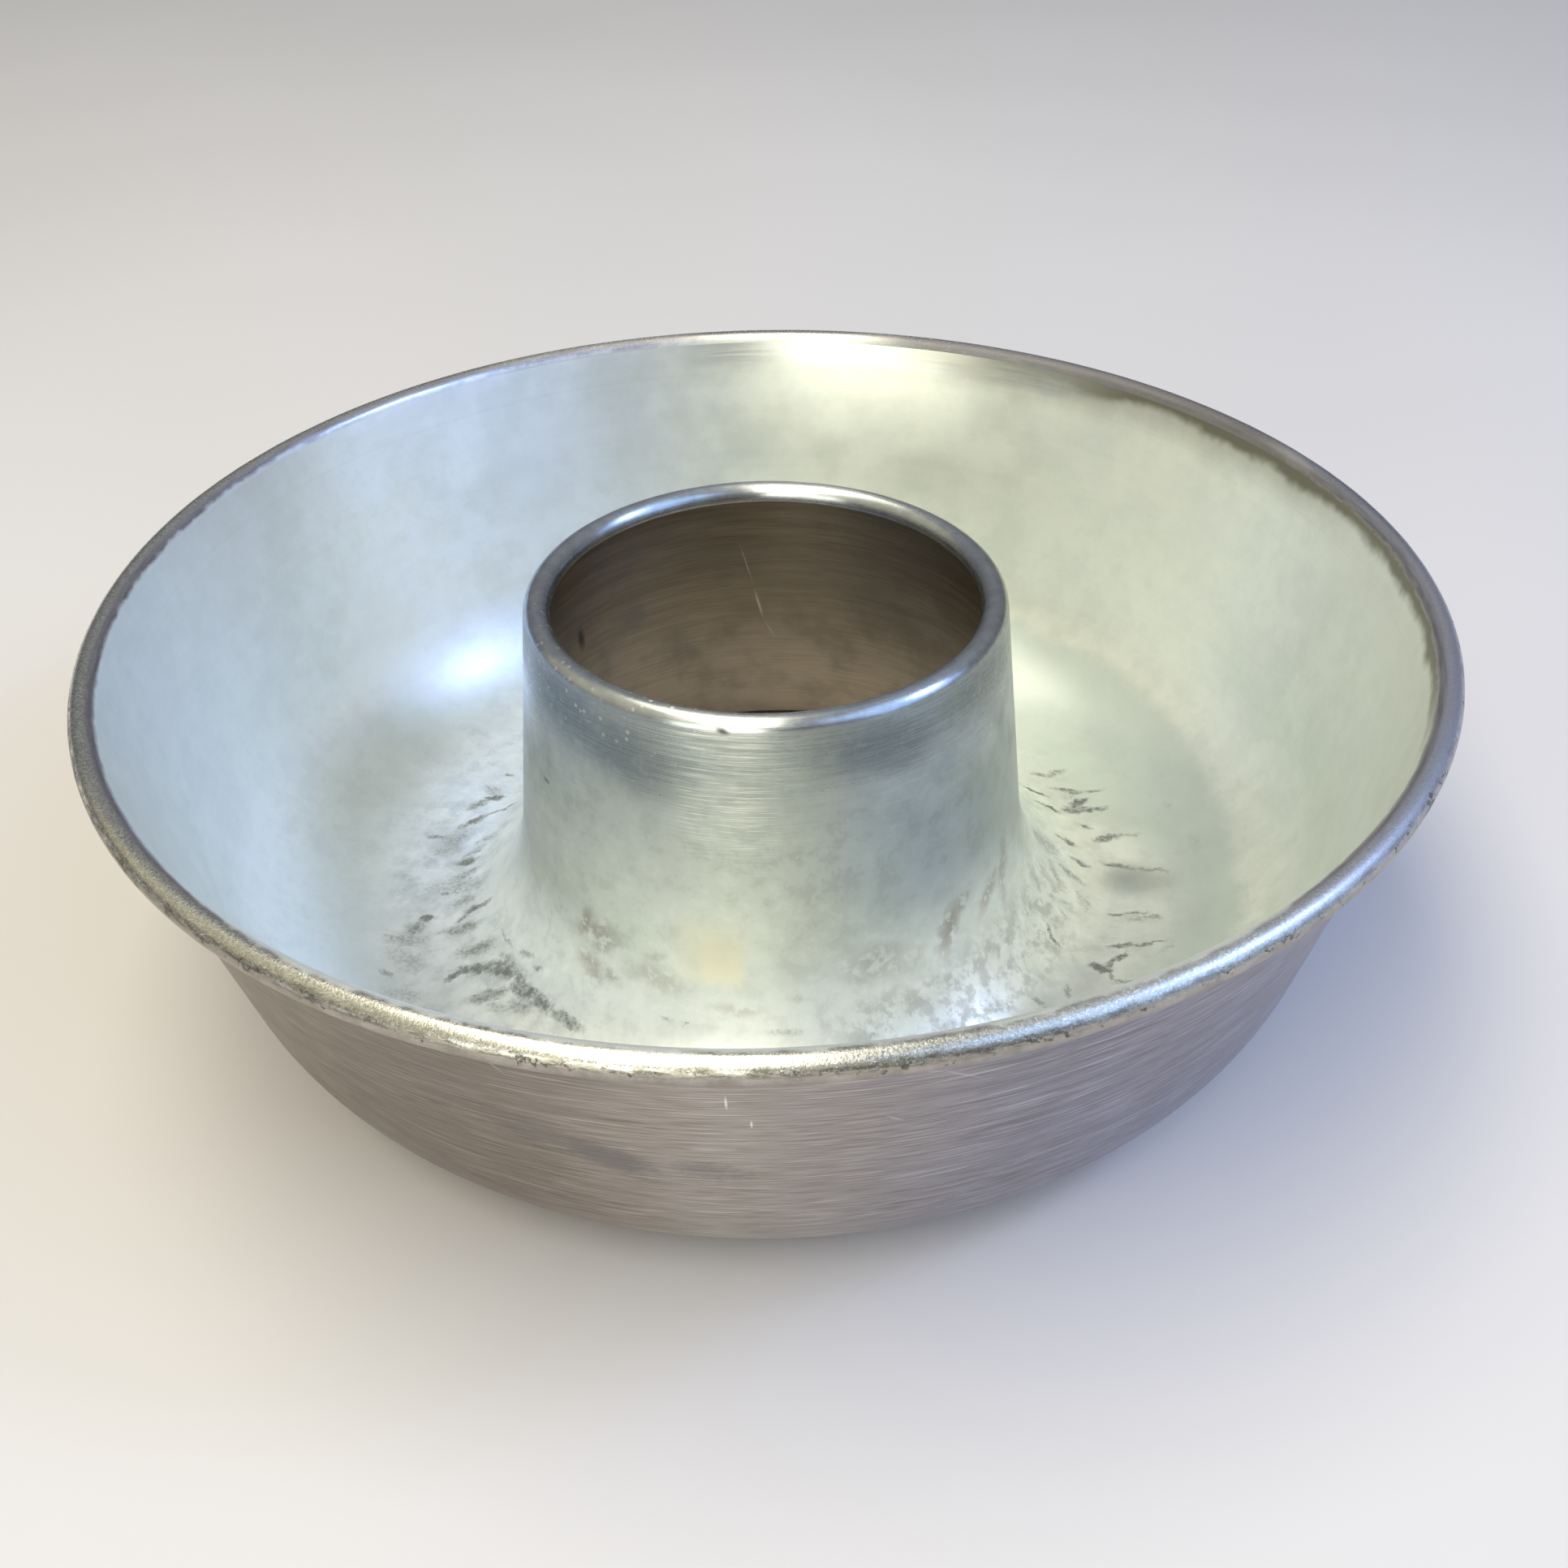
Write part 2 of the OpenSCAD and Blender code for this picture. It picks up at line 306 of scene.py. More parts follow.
class Section:
    """Middle line of the sheet: points (radius, height), normals towards the batter, and length run."""

    def __init__(self):
        self.points, self.normals, self.starts = [], [], {}
        self.lay_out()
        self.points = np.array(self.points)
        self.normals = np.array(self.normals)
        steps = np.linalg.norm(np.diff(self.points, axis=0), axis=1)
        self.run = np.concatenate([[0], np.cumsum(steps)])

    def bend(self, name, centre, mid_r, start, end, outward):
        """Points of a bend. outward is 1 where the batter's side is the outer one, and else -1."""
        joined = bool(self.points) and np.allclose(self.points[-1], centre + mid_r * turned(start))
        self.starts[name] = len(self.points) - joined
        steps = BANDS[name]
        for i in range(joined, steps):
            ray = turned(start + (end - start) * i / (steps - 1))
            self.points.append(centre + mid_r * ray)
            self.normals.append(outward * ray)

    def straight(self, name, end, normal):
        """Points of a straight, between the last point of the section and end."""
        self.starts[name] = len(self.points) - 1
        start = self.points[-1]
        steps = BANDS[name]
        for i in range(1, steps + 1):
            self.points.append(start + (end - start) * i / (steps + 1))
            self.normals.append(normal)

    def lay_out(self):
        """Bends and straights, from the cut edge of the curl to the cut edge of the lip."""
        half = GAUGE / 2
        self.bead_mid = BEAD_R - half
        self.bead_c = np.array([RIM_R - BEAD_R, RIM_H - BEAD_R])
        self.bead_end = 180 - WALL_LEAN

        corner_mid = CORNER_R - half
        reach = self.bead_c @ turned(-WALL_LEAN) - self.bead_mid
        lean = math.radians(WALL_LEAN)
        corner_x = (reach - corner_mid + CORNER_R * math.sin(lean)) / math.cos(lean)
        corner_c = np.array([corner_x, CORNER_R])

        lip_mid = LIP_R - half
        lip_c = np.array([LIP_D / 2 - LIP_R, TUBE_H - LIP_R])
        foot_mid, flare_mid = FOOT_R + half, FLARE_R + half
        flare_end = TUBE_LEAN + FLARE_TURN
        lean = math.radians(TUBE_LEAN)
        foot_z = GAUGE + FOOT_R
        spread = (FLARE_R - FOOT_R) * math.cos(math.radians(FLARE_TURN))
        foot_reach = lip_c @ turned(TUBE_LEAN) + lip_mid + flare_mid - spread
        foot_c = np.array([(foot_reach - foot_z * math.sin(lean)) / math.cos(lean), foot_z])
        flare_c = foot_c + (FLARE_R - FOOT_R) * turned(flare_end)

        self.bend("bead", self.bead_c, self.bead_mid, self.bead_end - CURL_TURN, self.bead_end, 1)
        self.straight("wall", corner_c + corner_mid * turned(-WALL_LEAN), -turned(-WALL_LEAN))
        self.bend("corner", corner_c, corner_mid, -WALL_LEAN, -90, -1)
        self.straight("floor", foot_c + foot_mid * turned(270), turned(90))
        self.bend("foot", foot_c, foot_mid, 270, 180 + flare_end, -1)
        self.bend("flare", flare_c, flare_mid, 180 + flare_end, 180 + TUBE_LEAN, -1)
        self.straight("tube", lip_c + lip_mid * turned(TUBE_LEAN), turned(TUBE_LEAN))
        self.bend("lip", lip_c, lip_mid, TUBE_LEAN, TUBE_LEAN + LIP_TURN, 1)

    def run_at(self, name):
        """How far along the sheet a band starts."""
        return float(self.run[self.starts[name]])

    def rim_top(self):
        """How far along the sheet the top of the rolled rim lies."""
        return self.bead_mid * math.radians(90 - self.bead_end + CURL_TURN)


section = Section()


def sheet_point(azimuth, run, outer=False):
    """A point on a face of the sheet, in millimetres."""
    point = [np.interp(run, section.run, section.points[:, k]) for k in (0, 1)]
    normal = [np.interp(run, section.run, section.normals[:, k]) for k in (0, 1)]
    push = GAUGE / 2 * (-1 if outer else 1)
    r, z = point[0] + push * normal[0], point[1] + push * normal[1]
    x, y = turned(azimuth)
    return Vector((r * x, r * y, z))


def sheet_normal(azimuth, run):
    """The direction out of the batter's side of the sheet."""
    radial, up = [np.interp(run, section.run, section.normals[:, k]) for k in (0, 1)]
    x, y = turned(azimuth)
    return Vector((radial * x, radial * y, up)).normalized()


def out_of_true(r, z, theta):
    """Moves points as the rim's warp and the ovals of rim and lip do."""
    rise = smooth(z / RIM_H)
    outer = smooth((r - LIP_D / 2) / (RIM_R - LIP_D / 2)) * rise
    inner = (1 - smooth((r - LIP_D / 2) / LIP_REACH)) * rise
    rim_stretch = 1 + RIM_OVAL * (np.sin(2 * theta) - 1) * outer
    lip_stretch = 1 - LIP_OVAL * np.sin(2 * theta) * inner
    return r * rim_stretch * lip_stretch, z - RIM_WARP * np.sin(2 * theta) * outer


def cloud(theta, run, around, along, seed):
    """Smooth noise from -1 to 1, seamless round the pan, with features of given counts."""
    places = np.stack(np.broadcast_arrays(np.cos(theta) * around, np.sin(theta) * around, run * along), -1)
    flat = [noise.noise(Vector(p) + Vector((seed, 0, 0))) for p in places.reshape(-1, 3)]
    return np.array(flat).reshape(places.shape[:-1])


def waves(theta, run, rows):
    """The sum of rows of waves, each a height and what cloud needs."""
    return sum(height * cloud(theta, run, *row) for height, *row in rows)


def dents(theta, run):
    """How far wear has pushed the sheet towards the batter's side."""
    shift = waves(theta, run, SHEET_WAVES)
    from_foot = run - section.run_at("foot") - FOOT_WAVES_AT
    shift += np.exp(-(from_foot / FOOT_WAVES_SPREAD) ** 2) * waves(theta, run, FOOT_WAVES)

    radius = np.interp(run, section.run, section.points[:, 0])
    around = (theta - math.radians(DENT_AT[0]) + math.pi) % (2 * math.pi) - math.pi
    away = np.hypot(around * radius / DENT_REACH[0], (run - DENT_AT[1]) / DENT_REACH[1])
    shift += DENT_DEPTH * smooth(1 - np.clip(away * (1 + DENT_FLAT) - DENT_FLAT, 0, 1))

    past_step = run - section.run_at("wall") - STEP_AT
    fade = smooth((past_step - STEP_FADE[0]) / (STEP_FADE[1] - STEP_FADE[0]))
    return shift + STEP_DEPTH * smooth(past_step / STEP_WIDTH) * (1 - fade)


def free_share():
    """How freely each point of the section may move: not at all in the bead, nor in most of the lip."""
    from_bead = section.run - section.run_at("wall")
    to_lip = section.run_at("lip") - section.run
    return smooth(from_bead / FREE_OVER) * smooth(to_lip / FREE_OVER + FREE_AT_LIP)


def sheet_grid():
    """The azimuths round the pan, and grids of the sheet's two faces: (round, along, xyz)."""
    theta = np.linspace(0, 2 * math.pi, ROUND, endpoint=False)[:, None]
    count = len(section.run)
    line = np.broadcast_to(section.points, (ROUND, count, 2)).copy()
    normal = np.broadcast_to(section.normals, (ROUND, count, 2)).copy()

    # The cut edge of the curl wanders, and the roll is a little uneven
    bead = BANDS["bead"]
    share = np.linspace(0, 1, bead)[None, :]
    turn = CURL_TURN + waves(theta, np.zeros(1), CURL_EDGE_WAVES)
    angle = np.radians(section.bead_end - turn * (1 - share))
    rays = np.stack([np.cos(angle), np.sin(angle)], -1)
    squash = waves(theta, np.zeros(1), ROLL_WAVES) * np.sin(share * math.pi)
    line[:, :bead] = section.bead_c + (section.bead_mid - np.abs(squash))[..., None] * rays
    normal[:, :bead] = rays

    shift = dents(theta, section.run[None, :]) * free_share()
    line += normal * shift[..., None]
    faces = []
    for side in (1, -1):
        r, z = np.moveaxis(line + side * normal * GAUGE / 2, -1, 0)
        r, z = out_of_true(r, z, theta)
        faces.append(np.stack([r * np.cos(theta), r * np.sin(theta), z], -1))
    return theta, faces


def mesh_object(name, points, faces, slots=None):
    mesh = bpy.data.meshes.new(name)
    mesh.from_pydata(points, [], faces)
    if slots is not None:
        mesh.polygons.foreach_set("material_index", slots)
    mesh.polygons.foreach_set("use_smooth", [True] * len(faces))
    mesh.set_sharp_from_angle(angle=math.radians(SHARP_ANGLE))
    mesh.update()
    piece = bpy.data.objects.new(name, mesh)
    bpy.context.scene.collection.objects.link(piece)
    return piece


def floor_sector(azimuth):
    """The name of the part of the floor at an azimuth."""
    for name, start, end, scuffs in FLOOR_SECTORS:
        if (azimuth - start) % 360 < (end - start) % 360:
            return name


def face_slots(azimuth):
    """Finish of each face of one slice of the shell. The two cut edges take the other side's."""
    order = range(len(section.run) - 1)
    scuffed = np.searchsorted(section.run, SCUFFED_FROM)
    floor = floor_sector(azimuth)
    batter = []
    for j in order:
        on_wall = "wall" if j < scuffed else floor if j < section.starts["flare"] else "tube"
        batter.append("rim" if j < section.starts["wall"] else on_wall)
    other = ["outside" if j < section.starts["foot"] else "bore" for j in order]
    names = batter + other[-1:] + other[::-1] + other[:1]
    return [FINISHES.index(name) for name in names]


def make_shell():
    theta, (inner, outer) = sheet_grid()
    loop = np.concatenate([inner, outer[:, ::-1]], axis=1)
    loop[..., 2] = np.maximum(loop[..., 2], 0)
    steps = loop.shape[1]
    points = loop.reshape(-1, 3) * MM

    faces = []
    for i in range(ROUND):
        here, there = i * steps, (i + 1) % ROUND * steps
        for j in range(steps):
            k = (j + 1) % steps
            faces.append((here + j, here + k, there + k, there + j))
    slots = [slot for i in range(ROUND) for slot in face_slots((i + 0.5) * 360 / ROUND)]
    piece = mesh_object("spun_shell", points, faces, slots)

    place = np.zeros((ROUND, steps, 3))
    place[..., 0] = np.cos(theta)
    place[..., 1] = np.sin(theta)
    place[..., 2] = np.concatenate([section.run, section.run[::-1]])
    attribute = piece.data.attributes.new("sheet_place", "FLOAT_VECTOR", "POINT")
    attribute.data.foreach_set("vector", place.reshape(-1))
    return piece


def make_wire():
    """The wire in the rolled rim. It follows the rim's warp, and its two ends almost meet at the back."""
    ring_r, height = section.bead_c
    half_gap = WIRE_GAP / ring_r / 2
    points, faces = [], []
    for i in range(WIRE_ROUND + 1):
        theta = math.pi / 2 + half_gap + (2 * math.pi - 2 * half_gap) * i / WIRE_ROUND
        for j in range(WIRE_SIDES):
            ray = WIRE_R * turned(360 * j / WIRE_SIDES)
            r, z = out_of_true(ring_r + ray[0], height + ray[1], theta)
            points.append((r * math.cos(theta) * MM, r * math.sin(theta) * MM, z * MM))
    for i in range(WIRE_ROUND):
        for j in range(WIRE_SIDES):
            k = (j + 1) % WIRE_SIDES
            here, there = i * WIRE_SIDES, (i + 1) * WIRE_SIDES
            faces.append((here + j, there + j, there + k, here + k))
    faces.append(tuple(range(WIRE_SIDES)))
    faces.append(tuple(reversed(range(WIRE_ROUND * WIRE_SIDES, (WIRE_ROUND + 1) * WIRE_SIDES))))
    return mesh_object("wire_ring", points, faces)


class Nodes:
    """A material's node tree, built by short calls that take sockets or plain values."""

    def __init__(self, name):
        self.material = bpy.data.materials.new(name)
        self.material.use_nodes = True
        self.tree = self.material.node_tree
        self.tree.nodes.clear()

    def add(self, kind, **settings):
        node = self.tree.nodes.new(kind)
        for key, value in settings.items():
            setattr(node, key, value)
        return node

    def feed(self, socket, value):
        if isinstance(value, bpy.types.NodeSocket):
            self.tree.links.new(value, socket)
        else:
            socket.default_value = value

    def math(self, operation, a, b=0.0, clamp=False):
        node = self.add("ShaderNodeMath", operation=operation, use_clamp=clamp)
        self.feed(node.inputs[0], a)
        self.feed(node.inputs[1], b)
        return node.outputs[0]

    def times(self, first, *others):
        """The product of sockets or plain values."""
        for other in others:
            first = self.math("MULTIPLY", first, other)
        return first

    def plus(self, a, b, clamp=False):
        return self.math("ADD", a, b, clamp)

    def rest(self, share):
        """What a share leaves of 1."""
        return self.math("SUBTRACT", 1.0, share)

    def highest(self, values):
        top = values[0]
        for value in values[1:]:
            top = self.math("MAXIMUM", top, value)
        return top

    def vector(self, operation, a, b=(0, 0, 0)):
        node = self.add("ShaderNodeVectorMath", operation=operation)
        self.feed(node.inputs[0], a)
        self.feed(node.inputs[1], b)
        return node.outputs["Value" if operation in ("LENGTH", "DOT_PRODUCT") else "Vector"]

    def noise(self, place, scale=1.0, detail=3.0, rough=0.55, colour=False):
        node = self.add("ShaderNodeTexNoise")
        self.feed(node.inputs["Vector"], place)
        self.feed(node.inputs["Scale"], scale)
        self.feed(node.inputs["Detail"], detail)
        self.feed(node.inputs["Roughness"], rough)
        return node.outputs["Color" if colour else "Fac"]

    def ranged(self, value, low, high, to_low=0.0, to_high=1.0):
        node = self.add("ShaderNodeMapRange", interpolation_type="SMOOTHSTEP")
        for socket, given in zip(node.inputs, (value, low, high, to_low, to_high)):
            self.feed(socket, given)
        return node.outputs[0]

    def fading(self, value, start, end):
        """1 up to a start, and 0 from an end."""
        return self.ranged(value, start, end, 1.0, 0.0)

    def swing(self, texture, low, high):
        """A number that follows a noise between two values."""
        return self.ranged(texture, 0.3, 0.7, low, high)

    def band(self, value, start, end, fade):
        """1 between start and end, fading to 0 over a distance on either side."""
        up = self.ranged(value, start - fade, start + fade)
        return self.times(up, self.fading(value, end - fade, end + fade))

    def lerp(self, share, a, b):
        node = self.add("ShaderNodeMix", data_type="FLOAT")
        self.feed(node.inputs["Factor"], share)
        self.feed(node.inputs[2], a)
        self.feed(node.inputs[3], b)
        return node.outputs[0]

    def mix(self, share, a, b, mode="MIX"):
        node = self.add("ShaderNodeMix", data_type="RGBA", blend_type=mode)
        self.feed(node.inputs["Factor"], share)
        for socket, given in ((node.inputs[6], a), (node.inputs[7], b)):
            self.feed(socket, given if isinstance(given, bpy.types.NodeSocket) else (*given, 1.0))
        return node.outputs[2]

    def shades(self, texture, a, b, low=0.3, high=0.7):
        """A colour that follows a noise between two colours."""
        return self.mix(self.ranged(texture, low, high), a, b)

    def over(self, colour, cover, *shares):
        """A colour with a cover laid over it, by the product of some shares."""
        return self.mix(self.times(*shares), colour, cover)

    def tinted(self, colour, tint, *shares):
        """A colour multiplied by a tint, by the product of some shares."""
        return self.over(colour, self.mix(1.0, colour, tint, "MULTIPLY"), *shares)

    def shine(self, **sockets):
        """The shader itself, with its output."""
        shader = self.add("ShaderNodeBsdfPrincipled")
        for name, value in sockets.items():
            self.feed(shader.inputs[name.replace("_", " ")], value)
        output = self.add("ShaderNodeOutputMaterial")
        self.tree.links.new(shader.outputs[0], output.inputs["Surface"])


class SheetNodes(Nodes):
    """Nodes that know where they are on the sheet."""

    def __init__(self, name):
        super().__init__(name)
        self.place = self.add("ShaderNodeAttribute", attribute_name="sheet_place").outputs["Vector"]
        split = self.add("ShaderNodeSeparateXYZ")
        self.feed(split.inputs[0], self.place)
        self.off_axis, self.run = split.outputs["Y"], split.outputs["Z"]
        metres = self.add("ShaderNodeTexCoord").outputs["Object"]
        self.position = self.scaled(metres, 1 / MM)

    def scaled(self, vector, factor):
        result = self.vector("SCALE", vector)
        result.node.inputs["Scale"].default_value = factor
        return result

    def brushed(self, around, along, detail=2.0, rough=0.6):
        """Lines that run round the pan: about this many per radian, and per millimetre along the sheet."""
        place = self.vector("MULTIPLY", self.place, (around, around, along))
        return self.noise(place, 1.0, detail, rough)

    def spots(self, size, detail=3.0, rough=0.6, shift=0.0):
        """Noise in space, with features of about this size in millimetres."""
        place = self.vector("ADD", self.position, (shift, shift * 0.7, 0))
        return self.noise(place, 1 / size, detail, rough)

    def scratches(self, width, length, turn):
        """Noise drawn out into short scratches of a width and length, turned about the pan's axis."""
        node = self.add("ShaderNodeMapping", vector_type="TEXTURE")
        self.feed(node.inputs["Vector"], self.position)
        node.inputs["Rotation"].default_value = (*SCRATCH_LEAN, math.radians(turn))
        node.inputs["Scale"].default_value = (length, width, width)
        return self.noise(node.outputs[0], 1.0, 1.0, 0.5)

    def dots(self, spacing, size):
        """Round specks of about a size, scattered at about a spacing."""
        node = self.add("ShaderNodeTexVoronoi")
        self.feed(node.inputs["Vector"], self.position)
        self.feed(node.inputs["Scale"], 1 / spacing)
        radius = size / 2 / spacing
        return self.fading(node.outputs["Distance"], radius * 0.6, radius * 1.3)

    def wandering(self, texture, reach):
        """The run, pushed forward and back by a noise."""
        return self.plus(self.run, self.swing(texture, -reach, reach))

    def ragged_position(self, reach, size):
        """The position, pushed about by noise, so that the edges of a mark are ragged."""
        push = self.noise(self.position, 1 / size, 3.0, 0.65, colour=True)
        push = self.vector("SUBTRACT", push, (0.5, 0.5, 0.5))
        return self.vector("ADD", self.position, self.scaled(push, reach * 2))

    def facing(self, azimuth, inner, outer):
        """1 within an angle of an azimuth, fading to 0 at a wider one."""
        towards = (*turned(azimuth), 0)
        near = self.vector("DOT_PRODUCT", self.vector("MULTIPLY", self.place, (1, 1, 0)), towards)
        return self.ranged(near, turned(outer)[0], turned(inner)[0])

    def stroke(self, where, start, end, width, strength, outer=False):
        """A soft stroke on the sheet between two places, each an azimuth and a run."""
        a, b = (sheet_point(*place, outer) for place in (start, end))
        along = (b - a).normalized()
        out = sheet_normal((start[0] + end[0]) / 2, (start[1] + end[1]) / 2)
        side = out.cross(along).normalized()
        out = along.cross(side)
        turn = Matrix((along, side, out)).transposed()
        node = self.add("ShaderNodeMapping", vector_type="TEXTURE")
        self.feed(node.inputs["Vector"], where)
        node.inputs["Location"].default_value = (a + b) / 2
        node.inputs["Rotation"].default_value = turn.to_euler()
        node.inputs["Scale"].default_value = ((b - a).length / 2 + width / 4, width / 2, MARK_DEPTH)
        away = self.vector("LENGTH", node.outputs[0])
        return self.ranged(away, *MARK_FADE, strength, 0.0)

    def strokes(self, where, rows, outer=False):
        """The strongest of several strokes: rows of azimuth, run, azimuth, run, width, strength."""
        strongest = 0.0
        for row in rows:
            made = self.stroke(where, row[0:2], row[2:4], row[4], row[5], outer)
            strongest = self.math("MAXIMUM", strongest, made)
        return strongest

    def grained(self, share, grain, spread=0.8):
        """A share that breaks up into grains where it is weak."""
        shaken = self.plus(share, self.times(self.math("SUBTRACT", grain, 0.5), spread))
        return self.times(self.ranged(shaken, 0.12, 0.85), self.ranged(share, 0.0, 0.2))

    def relief(self, height, depth):
        """A bump from a height of 0 to 1, with its depth in millimetres."""
        node = self.add("ShaderNodeBump")
        self.feed(node.inputs["Strength"], 1.0)
        self.feed(node.inputs["Distance"], depth * MM)
        self.feed(node.inputs["Height"], height)
        return node.outputs[0]

    def spun_metal(self, colour, metal, rough, height, depth, anisotropy=0.7):
        """The shader of the sheet, brushed round the pan."""
        tangent = self.add("ShaderNodeTangent", direction_type="RADIAL", axis="Z")
        self.shine(
            Base_Color=colour, Metallic=metal, Roughness=rough, Anisotropic=anisotropy,
            Anisotropic_Rotation=0.25, Normal=self.relief(height, depth), Tangent=tangent.outputs[0],
        )
        return self.material


def tarnish_share(n, left):
    """Where the bend into the floor is tarnished: to a clear edge, but softly at the left."""
    corner = section.run_at("corner")
    edge = n.wandering(n.spots(15.0, 3.0, shift=8.0), 1.5)
    edge = n.plus(edge, n.times(n.off_axis, 10.0))
    start = n.lerp(left, corner + 18.0, corner + 8.0)
    full = n.lerp(left, corner + 23.5, corner + 30.0)
    back_right = n.facing(48, 20, 50)
    fade = n.lerp(back_right, corner + 28.0, corner + 44.0)
    end = n.lerp(back_right, corner + 44.0, corner + 62.0)
    return n.times(n.ranged(edge, start, full), n.fading(edge, fade, end))


def dull_look(n, blotch):
    """Colour of the dull batter's side, with its whitish oxide, tarnish and faint turned lines, and painted
    warm and cool light above the bend.
    """
    corner, floor = section.run_at("corner"), section.run_at("floor")
    mottle = n.spots(4.5, 5.0, 0.65, shift=90.0)
    low = n.ranged(n.run, corner, floor, 0.25, 1.0)
    colour = n.shades(blotch, DULL, DULL_PALE, 0.35, 0.65)
    colour = n.over(colour, MOTTLE_DARK, n.ranged(mottle, 0.50, 0.63, 0.0, 0.8), low)
    colour = n.over(colour, MOTTLE_PALE, n.ranged(mottle, 0.48, 0.36, 0.0, 0.6), low)
    colour = n.over(colour, HAZE, n.ranged(n.spots(38.0, 3.0, shift=50.0), 0.4, 0.65), 0.4)
    colour = n.over(colour, TURNED_LINE, n.swing(n.brushed(1.2, 0.7), 0.0, 0.10))
    above = n.fading(n.run, corner + 5.0, corner + 25.0)
    # Painted light: a warm tint at the right and a cool tint at the left, where coloured light falls on the
    # walls
    colour = n.tinted(colour, PAINTED_WARM_LIGHT, n.facing(60, 15, 50), above)
    colour = n.tinted(colour, PAINTED_COOL_LIGHT, n.facing(150, 30, 60), above)
    left = n.facing(185, 60, 90)
    return n.over(colour, TARNISH, tarnish_share(n, left), n.lerp(left, 0.75, 0.55))


def dull_height(n, grain):
    """Relief of the dull side: brushed lines, and grain between them."""
    return n.plus(n.brushed(2.5, 2.6), n.times(grain, 0.7))


def foot_stains(n):
    """Share of patchy brown stains round the foot of the tube, at the right of its front."""
    foot = section.run_at("foot")
    patchy = n.ranged(n.spots(3.2, 5.0, 0.65, shift=17.0), 0.45, 0.60)
    return n.times(patchy, n.band(n.run, foot + 8.0, foot + 24.0, 4.0), n.facing(318, 24, 46))


def rim_finish():
    """The rolled rim: scratched all over, greyer inside as a painted dark reflection, with grime where its
    lower half turns under.
    """
    n = SheetNodes("aluminium_rim")
    top = section.rim_top()
    cross = n.highest([n.scratches(*row) for row in RIM_SCRATCHES])
    turned_lines = n.brushed(14.0, 2.2)
    grain, blotch = n.spots(0.45, 2.0), n.spots(5.0, 3.0)
    # Painted cool light: the smoother right side of the rim is tinted bluish
    smooth_cool_lit_side = n.facing(15, 40, 80)
    colour = n.shades(grain, RIM_DARK, RIM_PALE)
    colour = n.over(colour, n.shades(grain, SMOOTH_COOL_LIT_DARK, SMOOTH_COOL_LIT_PALE), smooth_cool_lit_side)

    # The inner side is painted greyer, as a dark reflection, and painted bright at the back and the front
    # as highlights
    inner = n.ranged(n.run, top + 0.3, top + 1.0)
    painted_highlight_share = n.highest([n.facing(84, 10, 20), n.facing(265, 30, 50)])
    painted_highlight_share = n.times(painted_highlight_share, n.ranged(n.spots(3.0, 4.0), 0.35, 0.6, 0.3, 0.8))
    grey = n.over(n.shades(turned_lines, INNER_DARK, INNER_PALE, 0.35, 0.65), INNER_PAINTED_HIGHLIGHT, painted_highlight_share)
    colour = n.over(colour, grey, inner)

    # The end of the bend is as dull as the wall, or greasy
    turning = n.plus(n.wandering(blotch, 0.3), n.times(n.facing(268, 30, 50), 1.8))
    last = n.ranged(turning, top + 1.6, top + 2.5)
    greasy = n.facing(14, 30, 46)
    dull = n.over(dull_look(n, n.spots(14.0, 4.0)), GREASE, greasy, 0.9)
    colour = n.over(colour, dull, last)
    dark_side = n.highest([n.facing(50, 20, 32), n.times(n.facing(109, 8, 14), 0.4)])
    colour = n.over(colour, RIM_SHADE, dark_side, 0.85)

    # The outer side is flecked below, turns brown underneath, and holds a line of grime
    lower = n.fading(n.wandering(n.brushed(30.0, 0.6, 3.0), 0.5), top - 2.3, top - 1.5)
    flecked = n.shades(n.brushed(36.0, 2.2, 3.0), RIM_FLECK, RIM_LOWER, 0.44, 0.56)
    colour = n.over(colour, flecked, lower, n.lerp(n.facing(328, 20, 50), 0.9, 0.4))
    under = n.fading(n.run, top - 3.2, top - 2.4)
    colour = n.over(colour, n.shades(blotch, UNDER_DARK, UNDER_PALE), under)
    grime = n.band(n.wandering(n.spots(1.6, 3.0, shift=3.0), 0.8), top - 2.7, top - 2.2, 0.2)
    grime = n.times(grime, n.ranged(n.spots(3.0, 3.0, shift=40.0), 0.50, 0.60))
    colour = n.over(colour, DARK_GRIME, grime, 0.85)

    scratched = n.lerp(smooth_cool_lit_side, 1.0, 0.15)
    outer = n.plus(n.times(n.band(n.run, top - 2.6, top + 0.5, 0.5), 0.7), 0.3)
    glints = n.times(n.ranged(cross, 0.63, 0.70), outer, n.rest(n.times(lower, 0.7)), scratched)
    colour = n.over(colour, RIM_GLINT, glints)

    rough = n.lerp(inner, n.swing(grain, 0.22, 0.32), 0.34)
    rough = n.lerp(n.highest([lower, under, last, dark_side, n.facing(325, 25, 50)]), rough, 0.42)
    rough = n.lerp(n.highest([grime, dark_side]), rough, 0.6)
    height = n.times(n.plus(cross, n.times(grain, 0.7)), n.lerp(inner, 1.0, 0.2), scratched)
    height = n.plus(height, n.times(turned_lines, 0.4))
    metal = n.lerp(last, 1.0, n.lerp(greasy, DULL_METAL, 0.2))
    return n.spun_metal(colour, metal, rough, height, 0.030, 0.3)


